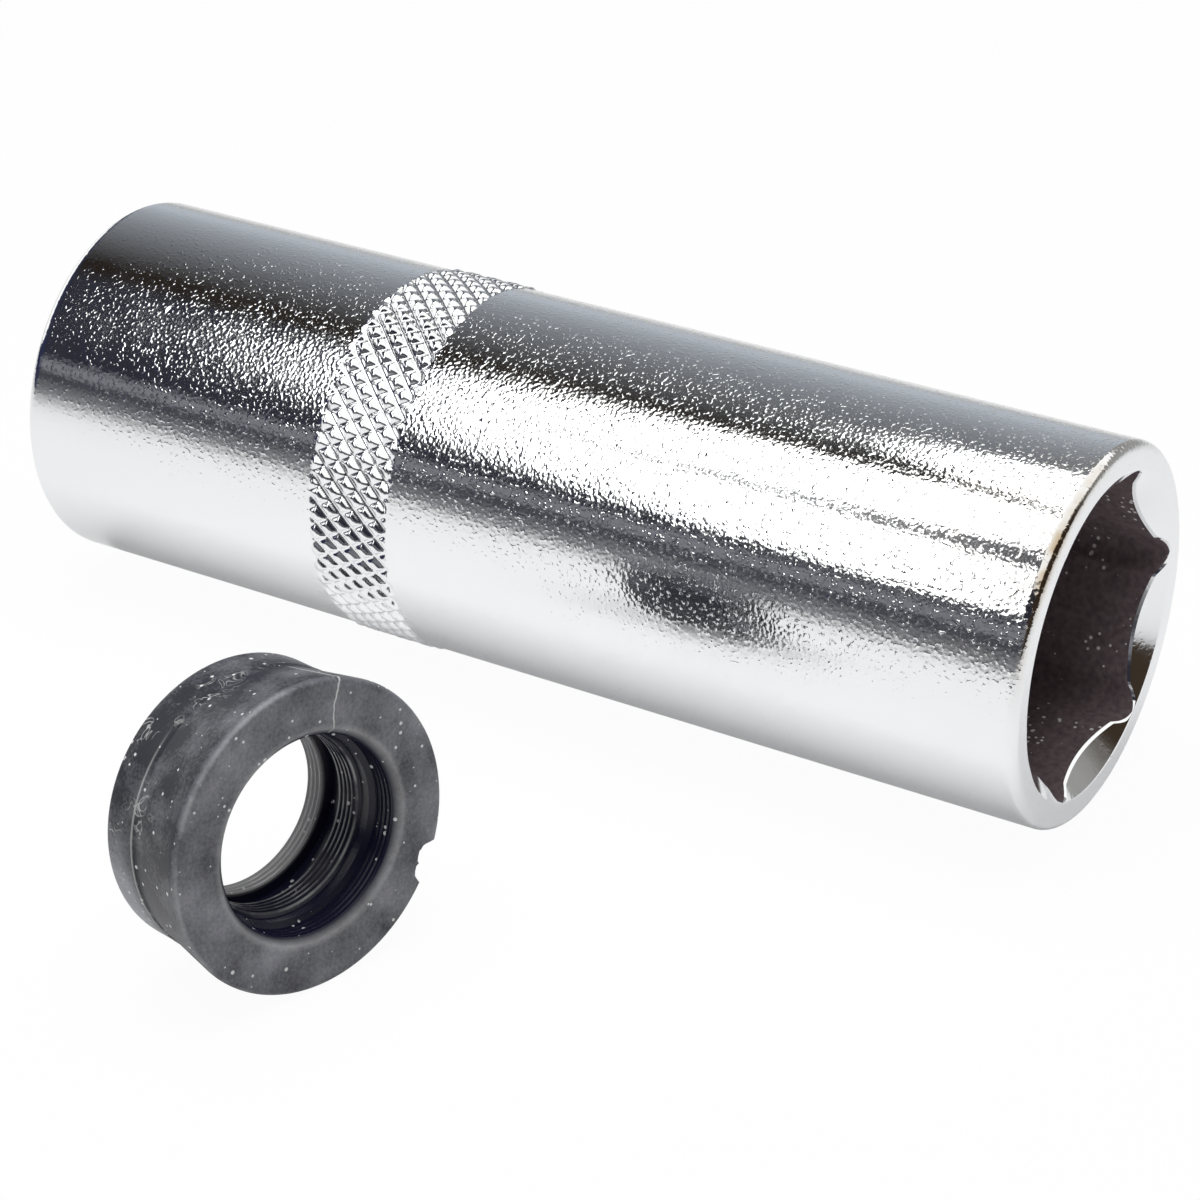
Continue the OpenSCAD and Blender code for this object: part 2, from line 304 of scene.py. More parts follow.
grip = next(m for m in frame["record"]["mounts"] if m["name"] == "holder_grip")
holder = dict(
    columns=440, guard=0.15, rearGuard=0.2,
    gripMiddle=4.7, length=6.9,
    flange=8.5, tail=7.9, tailLength=2.2, waistDeep=0.07, waistLength=0.7, rim=0.3,
    partingAt=0.9, partingWidth=0.08, partingRise=0.04,  # place and width as shares of the waist
    grip=grip["dims"]["r_mm"], groove=5.45, step=5.15, lead=0.4,
    frontGroove=1.7, stepEnd=2.5, frontLand=4.2, rearGroove=5.3, slope=0.2,
    bites=((-29.0, 0.8), (-34.5, 0.65)), biteDeep=1.6, biteEnd=1.68, tear=0.035, tearWaves=(190, 71),
    linePitch=0.34, lineDeep=0.05, lineStep=0.0425,
)


def biteRadius(theta, h):
    # where a ray from the axis enters one of the round bites in the flange's rim, with a torn edge
    reach = np.full_like(theta, 99.0)
    for turnDeg, size in h["bites"]:
        off = (theta - np.radians(turnDeg) + np.pi) % tau - np.pi
        inside = size ** 2 - (h["flange"] * np.sin(off)) ** 2
        near = h["flange"] * np.cos(off) - np.sqrt(np.maximum(inside, 0))
        reach = np.where((inside > 0) & (np.abs(off) < tau / 12), np.minimum(reach, near), reach)
    fineWave, slowWave = h["tearWaves"]
    return reach + h["tear"] * np.sin(theta * fineWave) * np.sin(theta * slowWave + 1)


def buildHolder(h):
    # columns start at the underside, so the angle's seam is out of sight
    theta = np.arange(h["columns"]) * tau / h["columns"] - tau / 4
    rimR = np.minimum(h["flange"], biteRadius(theta, h))
    faceR = h["groove"] + h["lead"]
    waistEnd = h["length"] - h["tailLength"]
    waistStart = waistEnd - h["waistLength"]
    taper = (h["flange"] - h["tail"]) / (waistStart - h["rim"])
    rearR = h["grip"] + h["slope"]
    moulded = 0
    wall = Wall(h["columns"])

    def flare(back):
        return h["flange"] - taper * (back - h["rim"])

    def land(start, stop, radius, deep):
        # land with fine tool lines, a shallow wave along the axis
        for back in np.arange(start, stop, -h["lineStep"]):
            wall.ring(-back, radius + deep * np.sin(tau * back / h["linePitch"]), moulded, back == start)

    # front face, rim with its bites, flare, waist and tail
    wall.run((0, faceR), (0, rimR - h["rim"]), 8, moulded)
    wall.bend((-h["rim"], rimR - h["rim"]), h["rim"], 0, 90, 6, moulded)
    for back in np.linspace(h["rim"], h["biteDeep"], 4)[1:]:
        wall.ring(-back, np.minimum(flare(back), rimR), moulded)
    for back in np.linspace(h["biteEnd"], waistStart, 6):
        wall.ring(-back, flare(back), moulded)
    for t in np.linspace(0, 1, 9)[1:]:
        # waist, one whole cosine wave, with the mould's parting line as a small ridge near its end
        ridge = h["partingRise"] * np.exp(-((t - h["partingAt"]) / h["partingWidth"]) ** 2)
        wall.ring(-waistStart - t * h["waistLength"],
                  h["tail"] - h["waistDeep"] * (1 - np.cos(tau * t)) / 2 + ridge, moulded)
    tailStart, tailStop = -waistEnd - h["guard"], -h["length"] + h["rim"]
    wall.run((tailStart, h["tail"]), (tailStop, h["tail"]), 3, moulded, sharp=False)
    wall.bend((tailStop, h["tail"] - h["rim"]), h["rim"], 90, 180, 6, moulded)
    rearEdge = h["tail"] - h["rim"] - h["rearGuard"]
    wall.run((-h["length"], rearEdge), (-h["length"], rearR), 3, moulded, sharp=False)
    # bore from the tail to the front: rear land, groove, front land, step, front groove and lead
    wall.ring(-h["length"], rearR, moulded, True)
    land(h["length"] - h["slope"], h["rearGroove"] + h["slope"], h["grip"], h["lineDeep"])
    wall.run((-h["rearGroove"] - h["slope"], h["grip"]), (-h["rearGroove"], h["groove"]), 2, moulded)
    wall.run((-h["rearGroove"], h["groove"]), (-h["frontLand"] - h["slope"], h["groove"]), 3, moulded)
    wall.run((-h["frontLand"] - h["slope"], h["groove"]), (-h["frontLand"], h["grip"]), 2, moulded)
    land(h["frontLand"], h["stepEnd"] + h["slope"], h["grip"], h["lineDeep"])
    wall.run((-h["stepEnd"] - h["slope"], h["grip"]), (-h["stepEnd"], h["step"]), 2, moulded)
    wall.run((-h["stepEnd"], h["step"]), (-h["frontGroove"] - h["slope"], h["step"]), 3, moulded)
    wall.run((-h["frontGroove"] - h["slope"], h["step"]), (-h["frontGroove"], h["groove"]), 2, moulded)
    land(h["frontGroove"], h["lead"], h["groove"], h["lineDeep"] / 2)
    wall.run((-h["lead"], h["groove"]), (0, faceR), 3, moulded)
    along, r = wall.arrays()
    # axes of the holder as it lies: nose along the grip, side level, top as near to up as it can be
    nose = Vector(grip["axis"]).normalized()
    side = Vector((0, 0, 1)).cross(nose).normalized()
    axes = np.array([nose, side, nose.cross(side)])
    front = Vector(grip["pos_m"]) / mm + nose * h["gripMiddle"]
    points = np.stack([along, r * np.cos(theta), r * np.sin(theta)], axis=-1) @ axes + np.array(front)
    shown = dict(back=-along, radius=r, turn=np.degrees(theta))
    made = closedGrid("plugHolder", points, wall.finish, wall.sharp, shown)
    print("plug holder:", len(made.data.polygons) * 2, "triangles")
    return made


# satin chrome plate, sizes in mm: bright metal over a fine blasted grain, which breaks up the edges of
# reflections in sparkle

chrome = dict(
    plate="#f3f4f6", nickel="#b59a6c", smoothest=0.07, roughest=0.10,
    grain=0.21, grainDeep=0.024, grainLeft=0.12, topsRise=0.65, peel=2.0, peelDeep=0.02,
    nicksApart=4.2, nickBend=0.0012, nickDeep=1.7, nicksTo=17.0, noneFrom=24.0,
)


def satinChrome(c):
    made, tree = newMaterial("satinChromePlate")
    place = addNode(tree, "ShaderNodeTexCoord").outputs["Object"]
    # grain, drawn about twice as coarse as the real one so that it shows; only its tops stand steep
    grain = addNode(tree, "ShaderNodeTexNoise",
                    {"Vector": place, "Scale": 1 / (c["grain"] * mm), "Detail": 0.6, "Roughness": 0.5})
    tops = addNode(tree, "ShaderNodeMapRange",
                   {"Value": grain, "From Min": 0.6, "From Max": 0.85, "To Max": c["topsRise"]})
    height = addNode(tree, "ShaderNodeMath", {0: grain, 1: 0.45, 2: tops}, operation="MULTIPLY_ADD")
    # orange peel under it sways the reflections and varies the roughness
    peel = addNode(tree, "ShaderNodeTexNoise",
                   {"Vector": place, "Scale": 1 / (c["peel"] * mm), "Detail": 2.0})
    rough = addNode(tree, "ShaderNodeMapRange",
                    {"Value": peel, "From Min": 0.3, "From Max": 0.7,
                     "To Min": c["smoothest"], "To Max": c["roughest"]})
    wavy = addNode(tree, "ShaderNodeBump",
                   {"Height": peel, "Distance": c["peelDeep"] * mm, "Strength": 0.5})
    # a few nicks from use near the drive end, a bent speck each
    bent = addNode(tree, "ShaderNodeMix", {0: c["nickBend"], 4: place, 5: peel.outputs["Color"]},
                   data_type="VECTOR")
    speck = addNode(tree, "ShaderNodeTexVoronoi", {"Vector": bent, "Scale": 1 / (c["nicksApart"] * mm)})
    nick = addNode(tree, "ShaderNodeMapRange",
                   {"Value": speck, "From Min": 0.02, "From Max": 0.075,
                    "To Min": -c["nickDeep"], "To Max": 0.0})
    along = addNode(tree, "ShaderNodeSeparateXYZ", {0: place}).outputs["X"]
    used = addNode(tree, "ShaderNodeMapRange",
                   {"Value": along, "From Min": c["nicksTo"] * mm, "From Max": c["noneFrom"] * mm,
                    "To Min": 1.0, "To Max": 0.0})
    height = addNode(tree, "ShaderNodeMath", {0: nick, 1: used, 2: height}, operation="MULTIPLY_ADD")
    smooth = addNode(tree, "ShaderNodeAttribute", attribute_name="smooth").outputs["Fac"]
    grainy = addNode(tree, "ShaderNodeMapRange", {"Value": smooth, "To Min": 1.0, "To Max": c["grainLeft"]})
    bumped = addNode(tree, "ShaderNodeBump",
                     {"Height": height, "Distance": c["grainDeep"] * mm,
                      "Strength": grainy, "Normal": wavy})
    # worn edge: a warm breath of the nickel under the chrome, in patches
    worn = addNode(tree, "ShaderNodeAttribute", attribute_name="worn").outputs["Fac"]
    patch = addNode(tree, "ShaderNodeMapRange",
                    {"Value": peel, "From Min": 0.4, "From Max": 0.6, "To Min": 0.2, "To Max": 0.8})
    share = addNode(tree, "ShaderNodeMath", {0: worn, 1: patch}, operation="MULTIPLY")
    tint = addNode(tree, "ShaderNodeMix", {0: share, 6: linear(c["plate"]), 7: linear(c["nickel"])},
                   data_type="RGBA")
    metal = addNode(tree, "ShaderNodeBsdfPrincipled",
                    {"Base Color": tint, "Metallic": 1.0, "Roughness": rough, "Normal": bumped})
    addNode(tree, "ShaderNodeOutputMaterial", {"Surface": metal})
    return made


# bare forged steel inside the socket, sizes in mm: oily, dark brown, with pale dust caught on it in drifts

steel = dict(dark="#40373d", light="#978689", dust="#f4f1ee", mottle=0.35, drift=3.5, speckCell=0.5)


def oiledSteel(c):
    made, tree = newMaterial("oiledForgedSteel")
    place = addNode(tree, "ShaderNodeTexCoord").outputs["Object"]
    mottle = addNode(tree, "ShaderNodeTexNoise",
                     {"Vector": place, "Scale": 1 / (c["mottle"] * mm), "Detail": 4.0})
    drift = addNode(tree, "ShaderNodeTexNoise",
                    {"Vector": place, "Scale": 1 / (c["drift"] * mm), "Detail": 1.0})
    cell = addNode(tree, "ShaderNodeTexVoronoi", {"Vector": place, "Scale": 1 / (c["speckCell"] * mm)})
    # a speck round a cell's centre, larger where the drift is thick
    size = addNode(tree, "ShaderNodeMapRange",
                   {"Value": drift, "From Min": 0.42, "From Max": 0.62, "To Min": -0.04, "To Max": 0.26})
    near = addNode(tree, "ShaderNodeMath", {0: size, 1: cell}, operation="SUBTRACT")
    speck = addNode(tree, "ShaderNodeMapRange", {"Value": near, "From Min": 0.0, "From Max": 0.05})
    tone = addNode(tree, "ShaderNodeMix", {0: mottle, 6: linear(c["dark"]), 7: linear(c["light"])},
                   data_type="RGBA")
    dusty = addNode(tree, "ShaderNodeMix", {0: speck, 6: tone, 7: linear(c["dust"])}, data_type="RGBA")
    oily = addNode(tree, "ShaderNodeBsdfPrincipled",
                   {"Base Color": dusty, "Metallic": 0.0, "Roughness": 0.6, "Specular IOR Level": 0.3})
    addNode(tree, "ShaderNodeOutputMaterial", {"Surface": oily})
    return made


# moulded nitrile rubber: matte charcoal with a grey bloom, white dust, scuffs and one hairline crack, with
# painted shade in the bore and painted light on the lip, the lands, the parting line and one side of the
# tail, placed by the holder's own measures: back and radius in mm, and turn in degrees

rubber = dict(
    # the bore colour is painted shade for the recess
    dark="#2b2c33", grey="#97989f", bore="#14142a", pale="#e2e2e2", rough=0.42, boreRough=0.26,
    # one side of the tail is painted paler, as painted light
    bloom=2.5, fine=0.18, fineDeep=0.02, outsideLess=0.43, tailMore=1.2, lowFrom=158, lowTo=190,
    # lip and its width set a ring of painted light round the bore
    lip=0.2, lipWidth=0.3, upperFrom=70, upperTo=110,
    crack=0.8, crackTurn=65.5, crackPerMm=0.7, crackSway=9.0,
    scuff=0.6, scuffCurl=1.0, scuffPatch=2.6, scuffFrom=2.5, scuffTo=4.5,
    # seam is a painted highlight on the parting line, and the rear land's paleness is painted light
    seam=0.5, seamTurn=178, edge=0.2, rearLand=0.5, speckCell=0.52,
)


def crackMark(tree, c, h, at):
    # hairline from the bore to the waist: its turn drifts with the radius, and wanders on the front face
    waistStart = h["length"] - h["tailLength"] - h["waistLength"]
    sway = addNode(tree, "ShaderNodeMapRange",
                   {"Value": at["back"], "From Min": 0.1, "From Max": 0.8,
                    "To Min": c["crackSway"], "To Max": 0.0})
    wander = addNode(tree, "ShaderNodeMath", {0: at["bloom"], 1: 0.5}, operation="SUBTRACT")
    wander = addNode(tree, "ShaderNodeMath", {0: wander, 1: sway, 2: c["crackTurn"]},
                     operation="MULTIPLY_ADD")
    line = addNode(tree, "ShaderNodeMath", {0: at["radius"], 1: c["crackPerMm"], 2: wander},
                   operation="MULTIPLY_ADD")
    off = addNode(tree, "ShaderNodeMath", {0: at["turn"], 1: line}, operation="SUBTRACT")
    off = addNode(tree, "ShaderNodeMath", {0: off}, operation="ABSOLUTE")
    mark = addNode(tree, "ShaderNodeMapRange",
                   {"Value": off, "From Min": 0.2, "From Max": 0.5, "To Min": 1.0, "To Max": 0.0})
    ahead = addNode(tree, "ShaderNodeMapRange",
                    {"Value": at["back"], "From Min": waistStart - 0.2, "From Max": waistStart + 0.4,
                     "To Min": c["crack"], "To Max": 0.0})
    outer = addNode(tree, "ShaderNodeMapRange",
                    {"Value": at["radius"], "From Min": h["groove"] + 0.01, "From Max": h["groove"] + 0.15})
    for mask in (ahead, outer):
        mark = addNode(tree, "ShaderNodeMath", {0: mark, 1: mask}, operation="MULTIPLY")
    return mark


def scuffMark(tree, c, at):
    # thin curled lines, where a swirled noise crosses one level, in patches on the tail's upper side
    curl = addNode(tree, "ShaderNodeTexNoise",
                   {"Vector": at["place"], "Scale": 1 / (c["scuffCurl"] * mm),
                    "Detail": 1.5, "Distortion": 1.0})
    off = addNode(tree, "ShaderNodeMath", {0: curl, 1: 0.55}, operation="SUBTRACT")
    off = addNode(tree, "ShaderNodeMath", {0: off}, operation="ABSOLUTE")
    mark = addNode(tree, "ShaderNodeMapRange",
                   {"Value": off, "From Min": 0.006, "From Max": 0.02, "To Min": 1.0, "To Max": 0.0})
    patch = addNode(tree, "ShaderNodeTexNoise",
                    {"Vector": at["place"], "Scale": 1 / (c["scuffPatch"] * mm), "Detail": 1.0})
    patch = addNode(tree, "ShaderNodeMapRange", {"Value": patch, "From Min": 0.5, "From Max": 0.6})
    behind = addNode(tree, "ShaderNodeMapRange",
                     {"Value": at["back"], "From Min": c["scuffFrom"], "From Max": c["scuffTo"],
                      "To Max": c["scuff"]})
    for mask in (patch, behind, at["upper"], at["skin"]):
        mark = addNode(tree, "ShaderNodeMath", {0: mark, 1: mask}, operation="MULTIPLY")
    return mark


def landPaintedLight(tree, c, h, at):
    # tops of the tool lines on the lands, painted pale as painted light, most of all at the tail
    wave = addNode(tree, "ShaderNodeMath", {0: at["back"], 1: tau / h["linePitch"]}, operation="MULTIPLY")
    wave = addNode(tree, "ShaderNodeMath", {0: wave}, operation="SINE")
    mark = addNode(tree, "ShaderNodeMapRange", {"Value": wave, "From Min": -0.2, "From Max": -0.9})
    onLand = addNode(tree, "ShaderNodeMapRange",
                     {"Value": at["radius"], "From Min": h["grip"] + 0.07, "From Max": h["grip"] + 0.15,
                      "To Min": 1.0, "To Max": 0.0})
    toTail = addNode(tree, "ShaderNodeMapRange",
                     {"Value": at["back"], "From Min": 4.0, "From Max": 6.0, "To Min": 0.6, "To Max": 1.0})
    for mask in (onLand, toTail, at["uneven"]):
        mark = addNode(tree, "ShaderNodeMath", {0: mark, 1: mask}, operation="MULTIPLY")
    # and the rear land is painted pale all over, as painted light
    rear = addNode(tree, "ShaderNodeMapRange",
                   {"Value": at["back"], "From Min": h["rearGroove"] + 0.1,
                    "From Max": h["rearGroove"] + 0.3, "To Max": c["rearLand"]})
    rear = addNode(tree, "ShaderNodeMath", {0: rear, 1: onLand}, operation="MULTIPLY")
    return addNode(tree, "ShaderNodeMath", {0: mark, 1: rear}, operation="MAXIMUM")


def seamPaintedHighlight(tree, c, h, at):
    # the mould's parting line, a real ridge, painted pale on one side of the waist as a painted highlight
    seamAt = h["length"] - h["tailLength"] - (1 - h["partingAt"]) * h["waistLength"]
    off = addNode(tree, "ShaderNodeMath", {0: at["back"], 1: seamAt}, operation="SUBTRACT")
    off = addNode(tree, "ShaderNodeMath", {0: off}, operation="ABSOLUTE")
    mark = addNode(tree, "ShaderNodeMapRange",
                   {"Value": off, "From Min": 0.02, "From Max": 0.09, "To Min": c["seam"], "To Max": 0.0})
    aside = addNode(tree, "ShaderNodeMath", {0: at["turn"], 1: c["seamTurn"]}, operation="SUBTRACT")
    aside = addNode(tree, "ShaderNodeMath", {0: aside}, operation="ABSOLUTE")
    aside = addNode(tree, "ShaderNodeMapRange",
                    {"Value": aside, "From Min": 30.0, "From Max": 55.0, "To Min": 1.0, "To Max": 0.0})
    for mask in (aside, at["skin"]):
        mark = addNode(tree, "ShaderNodeMath", {0: mark, 1: mask}, operation="MULTIPLY")
    return mark


def edgeMark(tree, c, h, at):
    # the flange's front edge, paler in patches on its upper side
    mark = addNode(tree, "ShaderNodeMapRange",
                   {"Value": at["radius"], "From Min": h["flange"] - 0.2, "From Max": h["flange"] - 0.08,
                    "To Max": c["edge"]})
    ahead = addNode(tree, "ShaderNodeMapRange",
                    {"Value": at["back"], "From Min": 0.12, "From Max": h["rim"],
                     "To Min": 1.0, "To Max": 0.0})
    for mask in (ahead, at["uneven"], at["upper"]):
        mark = addNode(tree, "ShaderNodeMath", {0: mark, 1: mask}, operation="MULTIPLY")
    return mark


def dustMark(tree, c, at):
    # specks, with a chance and a size for each cell
    cell = addNode(tree, "ShaderNodeTexVoronoi",
                   {"Vector": at["place"], "Scale": 1 / (c["speckCell"] * mm)})
    chance = addNode(tree, "ShaderNodeSeparateColor", {0: cell.outputs["Color"]})
    size = addNode(tree, "ShaderNodeMapRange",
                   {"Value": chance, "From Min": 0.3, "From Max": 1.0, "To Min": -0.04, "To Max": 0.24})
    near = addNode(tree, "ShaderNodeMath", {0: size, 1: cell}, operation="SUBTRACT")
    return addNode(tree, "ShaderNodeMapRange", {"Value": near, "From Min": 0.0, "From Max": 0.03})


def rubberTone(tree, c, at, fine, inBore):
    # cloudy bloom with a fine mottle, darker outside than on the front face, and paler on one side of the
    # tail, which is painted light
    mottle = addNode(tree, "ShaderNodeMath", {0: at["bloom"], 1: 1.5, 2: -0.56}, operation="MULTIPLY_ADD")
    mottle = addNode(tree, "ShaderNodeMath", {0: fine, 1: 0.6, 2: mottle}, operation="MULTIPLY_ADD")
    behind = addNode(tree, "ShaderNodeMapRange", {"Value": at["back"], "From Min": 0.2, "From Max": 0.6})
    outside = addNode(tree, "ShaderNodeMath", {0: at["skin"], 1: behind}, operation="MULTIPLY")
    # painted light: one side of the tail, from turn lowFrom to lowTo, is made paler
    low = addNode(tree, "ShaderNodeMapRange",
                  {"Value": at["turn"], "From Min": c["lowFrom"], "From Max": c["lowTo"],
                   "To Max": c["tailMore"]})
    tail = addNode(tree, "ShaderNodeMapRange", {"Value": at["back"], "From Min": 4.4, "From Max": 5.8})
    more = addNode(tree, "ShaderNodeMath", {0: low, 1: tail, 2: -c["outsideLess"]},
                   operation="MULTIPLY_ADD")
    mottle = addNode(tree, "ShaderNodeMath", {0: outside, 1: more, 2: mottle}, operation="MULTIPLY_ADD")
    tone = addNode(tree, "ShaderNodeMix", {0: mottle, 6: linear(c["dark"]), 7: linear(c["grey"])},
                   data_type="RGBA")
    # the bore takes the darker bore colour, which is painted shade
    return addNode(tree, "ShaderNodeMix", {0: inBore, 6: tone, 7: linear(c["bore"])}, data_type="RGBA")


def mouldedRubber(c, h):
    made, tree = newMaterial("mouldedNitrileRubber")
    at = dict(place=addNode(tree, "ShaderNodeTexCoord").outputs["Object"])
    for key in ("back", "radius", "turn"):
        at[key] = addNode(tree, "ShaderNodeAttribute", attribute_name=key).outputs["Fac"]
    at["bloom"] = addNode(tree, "ShaderNodeTexNoise",
                          {"Vector": at["place"], "Scale": 1 / (c["bloom"] * mm), "Detail": 5.0})
    fine = addNode(tree, "ShaderNodeTexNoise",
                   {"Vector": at["place"], "Scale": 1 / (c["fine"] * mm), "Detail": 2.0})
    # masks that several marks share
    skinR = h["tail"] - h["rim"]
    at["skin"] = addNode(tree, "ShaderNodeMapRange",
                         {"Value": at["radius"], "From Min": skinR - 0.1, "From Max": skinR + 0.1})
    at["upper"] = addNode(tree, "ShaderNodeMapRange",
                          {"Value": at["turn"], "From Min": c["upperFrom"], "From Max": c["upperTo"]})
    at["uneven"] = addNode(tree, "ShaderNodeMapRange",
                           {"Value": at["bloom"], "From Min": 0.4, "From Max": 0.58, "To Min": 0.15})
    # the bore is painted darker and bluer, as painted shade in the recess, and is shinier;
    # a paler lip runs round it, a ring of painted light
    faceR = h["groove"] + h["lead"]
    inBore = addNode(tree, "ShaderNodeMapRange",
                     {"Value": at["radius"], "From Min": h["groove"] + 0.05, "From Max": faceR - 0.05,
                      "To Min": 1.0, "To Max": 0.0})
    rough = addNode(tree, "ShaderNodeMapRange",
                    {"Value": inBore, "To Min": c["rough"], "To Max": c["boreRough"]})
    lip = addNode(tree, "ShaderNodeMapRange",
                  {"Value": at["radius"], "From Min": faceR, "From Max": faceR + c["lipWidth"],
                   "To Min": 1.0, "To Max": 0.0})
    lip = addNode(tree, "ShaderNodeMath", {0: lip, 1: inBore}, operation="SUBTRACT")
    lip = addNode(tree, "ShaderNodeMath", {0: lip, 1: c["lip"]}, operation="MULTIPLY", use_clamp=True)
    pale = lip
    for mark in (crackMark(tree, c, h, at), scuffMark(tree, c, at), landPaintedLight(tree, c, h, at),
                 seamPaintedHighlight(tree, c, h, at), edgeMark(tree, c, h, at), dustMark(tree, c, at)):
        pale = addNode(tree, "ShaderNodeMath", {0: pale, 1: mark}, operation="MAXIMUM")
    tone = rubberTone(tree, c, at, fine, inBore)
    marked = addNode(tree, "ShaderNodeMix", {0: pale, 6: tone, 7: linear(c["pale"])}, data_type="RGBA")
    bumped = addNode(tree, "ShaderNodeBump",
                     {"Height": fine, "Distance": c["fineDeep"] * mm, "Strength": 0.5})
    skin = addNode(tree, "ShaderNodeBsdfPrincipled",
                   {"Base Color": marked, "Roughness": rough, "Specular IOR Level": 0.3, "Normal": bumped})
    addNode(tree, "ShaderNodeOutputMaterial", {"Surface": skin})
    return made


socketShell = buildSocket(socket)
socketShell.data.materials.append(satinChrome(chrome))
socketShell.data.materials.append(oiledSteel(steel))
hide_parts("socket_body")
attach(socketShell, "root")

plugHolder = buildHolder(holder)
plugHolder.data.materials.append(mouldedRubber(rubber, holder))
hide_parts("rubber_insert")
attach(plugHolder, "root")


# camera, fitted to the photograph's outline, in mm and degrees
camera = dict(azimuth=31.313, elevation=28.547, distance=206.994, target=(34.055, 0.0, -6.675),
              focalPixels=3477.363, photoPixels=1200, sensor=36.0, nearest=10.0)


def placeCamera(c):
    a, e = np.radians(c["azimuth"]), np.radians(c["elevation"])
    back = Vector((np.sin(a) * np.cos(e), -np.cos(a) * np.cos(e), np.sin(e)))
    lens = bpy.data.cameras.new("photoCamera")
    lens.sensor_width = c["sensor"]
    lens.lens = c["focalPixels"] / c["photoPixels"] * c["sensor"]
    lens.clip_start = c["nearest"] * mm
    made = bpy.data.objects.new("photoCamera", lens)
    made.location = (Vector(c["target"]) + back * c["distance"]) * mm
    made.rotation_euler = back.to_track_quat("Z", "Y").to_euler()
    bpy.context.scene.collection.objects.link(made)
    bpy.context.scene.camera = made


placeCamera(camera)
print("camera placed")


# floor and lamp, lengths in metres
studio = dict(floorHalf=2.0, floorColour="#f4f4f4", shownGlow=0.96, mirroredGlow=0.2,
              lampHeight=0.22, lampSize=0.2, lampWatts=0.48, lampOver=(0.03, -0.03))


def makeFloor(t):
    # white paper that glows for the camera, and less for the chrome, so that it keeps a soft shadow
    made, tree = newMaterial("whiteStudioPaper")
    rays = addNode(tree, "ShaderNodeLightPath")
    seen = addNode(tree, "ShaderNodeMath",
                   {0: rays.outputs["Is Camera Ray"], 1: rays.outputs["Is Transmission Ray"]},
                   operation="MAXIMUM")
    mirrored = addNode(tree, "ShaderNodeMath", {0: rays.outputs["Is Glossy Ray"], 1: t["mirroredGlow"]},
                       operation="MULTIPLY")
    share = addNode(tree, "ShaderNodeMath", {0: seen, 1: t["shownGlow"], 2: mirrored},
                    operation="MULTIPLY_ADD")
    matte = addNode(tree, "ShaderNodeBsdfDiffuse", {"Color": linear(t["floorColour"])})
    glow = addNode(tree, "ShaderNodeEmission", {"Color": (1, 1, 1, 1), "Strength": 1.0})
    mixed = addNode(tree, "ShaderNodeMixShader", {0: share, 1: matte, 2: glow})
    addNode(tree, "ShaderNodeOutputMaterial", {"Surface": mixed})
    half, level = t["floorHalf"], cadBox[0][2]
    corners = [(-half, -half, level), (half, -half, level), (half, half, level), (-half, half, level)]
    mesh = bpy.data.meshes.new("studioFloor")
    mesh.from_pydata(corners, [], [(0, 1, 2, 3)])
    mesh.materials.append(made)
    floor = bpy.data.objects.new("studioFloor", mesh)
    bpy.context.scene.collection.objects.link(floor)


def makeLamp(t):
    # small softbox overhead, kept out of the chrome's reflections
    lamp = bpy.data.lights.new("overheadSoftbox", "AREA")
    lamp.size = t["lampSize"]
    lamp.energy = t["lampWatts"]
    made = bpy.data.objects.new("overheadSoftbox", lamp)
    made.location = (*t["lampOver"], t["lampHeight"])
    made.visible_glossy = False
    bpy.context.scene.collection.objects.link(made)


# room round the socket, drawn by direction: turn is the angle in degrees round X, from the back (+Y) over the
# top, and lean is how far the direction points towards the drive end (-X), from -1 to 1
room = dict(
    horizon="#b6bcc3", above="#251f1a", aboveFrom=10, aboveTo=84, fade=0.75,
    sideWall="#7f7462", sideShare=0.55, sideFrom=0.31, sideTo=0.22,
    front="#2b2c35", frontFrom=90, frontTo=100, strip="#7e7f84", stripTurn=160, stripHalf=8,
    low="#8c8c8e", lowFrom=166,
    farWall="#2c3049", farFrom=0.62, farTo=0.72, nearWall="#3a3027", nearFrom=-0.66, nearTo=-0.84,
    main=dict(turn=118.2, half=31.8, lean=0.39, reach=0.142, end=0.15, tilt=0.0),
    rear=dict(turn=69, half=15, lean=0.24, reach=0.14, end=0.0, tilt=0.0),
    top=dict(turn=80, half=52, lean=0.10, reach=0.12, end=-0.80, tilt=0.0),
    left=dict(turn=71, half=71, lean=1.0, reach=0.1, end=0.72, tilt=0.0008),
    edgeFrom=0.85, edgeTo=1.12, endFade=0.1,
    slitTurn=117, slitLean=0.56, slitSpread=21, slitEdge=2.2, slitLeft=0.05,
    light=(3.0, 3.0, 2.92, 1.0), sideLight=(1.1, 1.1, 1.08, 1.0), matteShare=0.3,
)


